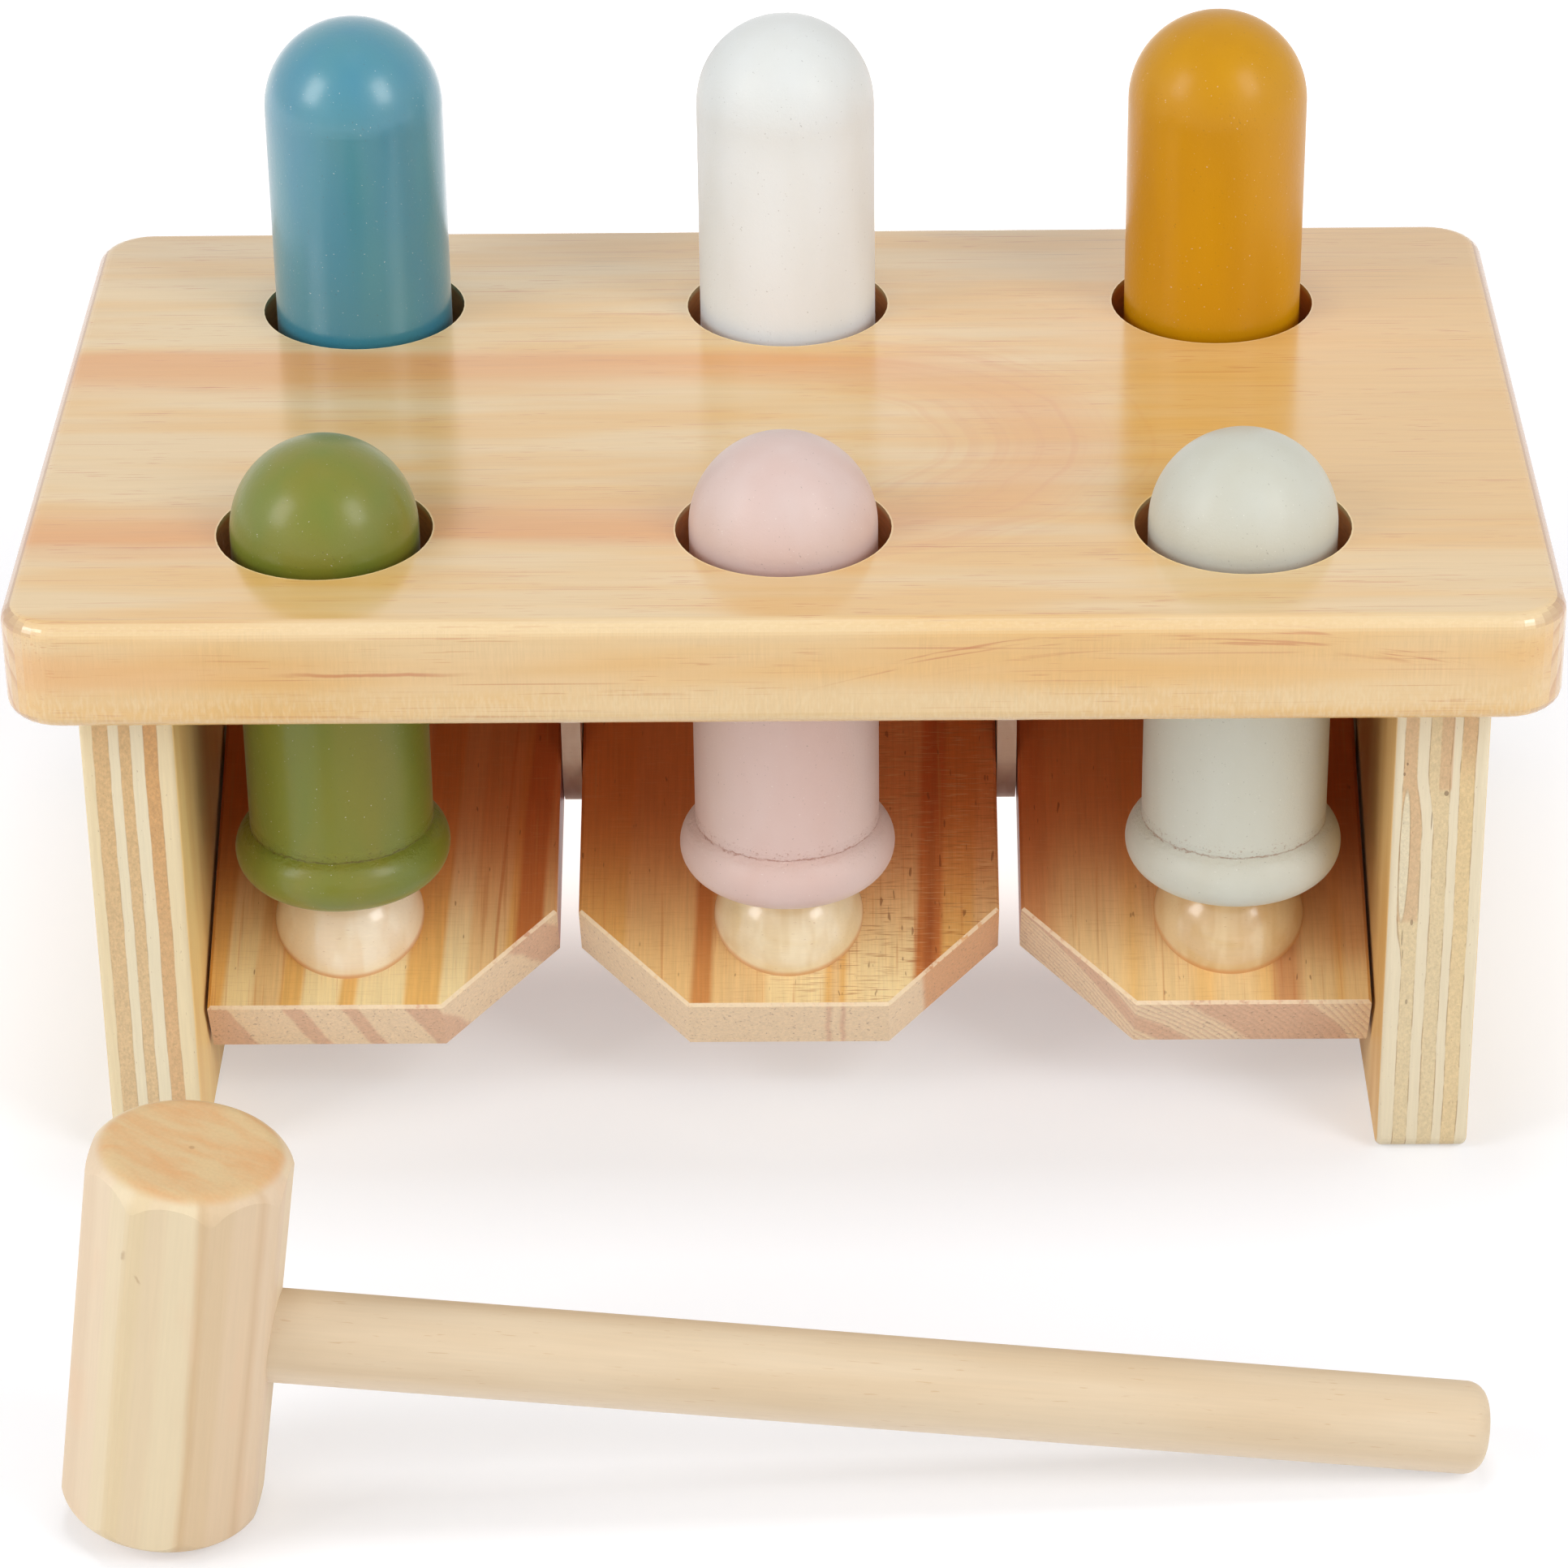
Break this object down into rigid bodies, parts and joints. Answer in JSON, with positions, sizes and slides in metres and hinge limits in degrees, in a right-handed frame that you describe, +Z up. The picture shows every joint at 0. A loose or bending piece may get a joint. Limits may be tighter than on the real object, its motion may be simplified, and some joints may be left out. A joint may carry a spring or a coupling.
{
  "type": "peg pounding bench",
  "caption": "Wooden toddler's pounding bench: painted pegs ride on rocking paddles under a holed board on plywood legs, with a small mallet lying in front.",
  "frame": {"origin": "on the floor, in the middle of the box that holds the bench and its mallet", "axes": "+Z up, -Y towards the front, where the mallet lies; +X to the right seen from the front"},
  "size_m": [0.24, 0.2463, 0.1547],
  "materials": {
    "board_pine": "clear satin lacquer over fine straight pine grain",
    "leg_plywood": "bare plywood with light and dark plies on its edges, sanded",
    "turned_hardwood": "turned pale wood, semi-gloss lacquer",
    "divider_wood": "thin pale wood, sanded",
    "paddle_pine": "orange-brown pine with wide straw stripes, thin lacquer",
    "mallet_wood": "very pale wood, sanded smooth, nearly matt",
    "green_paint": "satin olive green paint over wood",
    "pink_paint": "satin pale pink paint over wood",
    "grey_paint": "satin pale grey paint over wood",
    "blue_paint": "satin grey-blue paint over wood",
    "white_paint": "satin white paint over wood",
    "mustard_paint": "satin mustard yellow paint over wood"
  },
  "bodies": {
    "bench": {"top_board": "board_pine", "left_leg": "leg_plywood", "right_leg": "leg_plywood", "board_dowels": "turned_hardwood", "pivot_rod": "turned_hardwood", "left_divider": "divider_wood", "right_divider": "divider_wood"},
    "left_rocker": {"left_paddle": "paddle_pine", "left_front_button": "turned_hardwood", "left_rear_button": "turned_hardwood"},
    "middle_rocker": {"middle_paddle": "paddle_pine", "middle_front_button": "turned_hardwood", "middle_rear_button": "turned_hardwood"},
    "right_rocker": {"right_paddle": "paddle_pine", "right_front_button": "turned_hardwood", "right_rear_button": "turned_hardwood"},
    "green_peg": {"green_peg": "green_paint"},
    "pink_peg": {"pink_peg": "pink_paint"},
    "grey_peg": {"grey_peg": "grey_paint"},
    "blue_peg": {"blue_peg": "blue_paint"},
    "white_peg": {"white_peg": "white_paint"},
    "mustard_peg": {"mustard_peg": "mustard_paint"},
    "mallet": {"mallet_head": "mallet_wood", "mallet_handle": "mallet_wood"}
  },
  "joints": [
    {"name": "left_rock", "type": "hinge", "parent": "bench", "child": "left_rocker", "pos_m": [0, 0.04915, 0.04299], "axis": [-1, 0, 0], "range_deg": [0, 54.8]},
    {"name": "middle_rock", "type": "hinge", "parent": "bench", "child": "middle_rocker", "pos_m": [0, 0.04915, 0.04299], "axis": [-1, 0, 0], "range_deg": [0, 54.8]},
    {"name": "right_rock", "type": "hinge", "parent": "bench", "child": "right_rocker", "pos_m": [0, 0.04915, 0.04299], "axis": [-1, 0, 0], "range_deg": [0, 54.8]},
    {"name": "green_peg_travel", "type": "slide", "parent": "bench", "child": "green_peg", "axis": [0, 0, 1], "range_m": [0, 0.0364]},
    {"name": "pink_peg_travel", "type": "slide", "parent": "bench", "child": "pink_peg", "axis": [0, 0, 1], "range_m": [0, 0.0364]},
    {"name": "grey_peg_travel", "type": "slide", "parent": "bench", "child": "grey_peg", "axis": [0, 0, 1], "range_m": [0, 0.0364]},
    {"name": "blue_peg_travel", "type": "slide", "parent": "bench", "child": "blue_peg", "axis": [0, 0, -1], "range_m": [0, 0.0364]},
    {"name": "white_peg_travel", "type": "slide", "parent": "bench", "child": "white_peg", "axis": [0, 0, -1], "range_m": [0, 0.0364]},
    {"name": "mustard_peg_travel", "type": "slide", "parent": "bench", "child": "mustard_peg", "axis": [0, 0, -1], "range_m": [0, 0.0364]},
    {"name": "mallet_lift", "type": "slide", "parent": "bench", "child": "mallet", "axis": [0, 0, 1], "range_m": [0, 0.16]}
  ],
  "couplings": [
    {"joint": "green_peg_travel", "follows": "left_rock", "m_per_rad": 0.038012},
    {"joint": "pink_peg_travel", "follows": "middle_rock", "m_per_rad": 0.038012},
    {"joint": "grey_peg_travel", "follows": "right_rock", "m_per_rad": 0.038012},
    {"joint": "blue_peg_travel", "follows": "left_rock", "m_per_rad": 0.038012},
    {"joint": "white_peg_travel", "follows": "middle_rock", "m_per_rad": 0.038012},
    {"joint": "mustard_peg_travel", "follows": "right_rock", "m_per_rad": 0.038012}
  ]
}
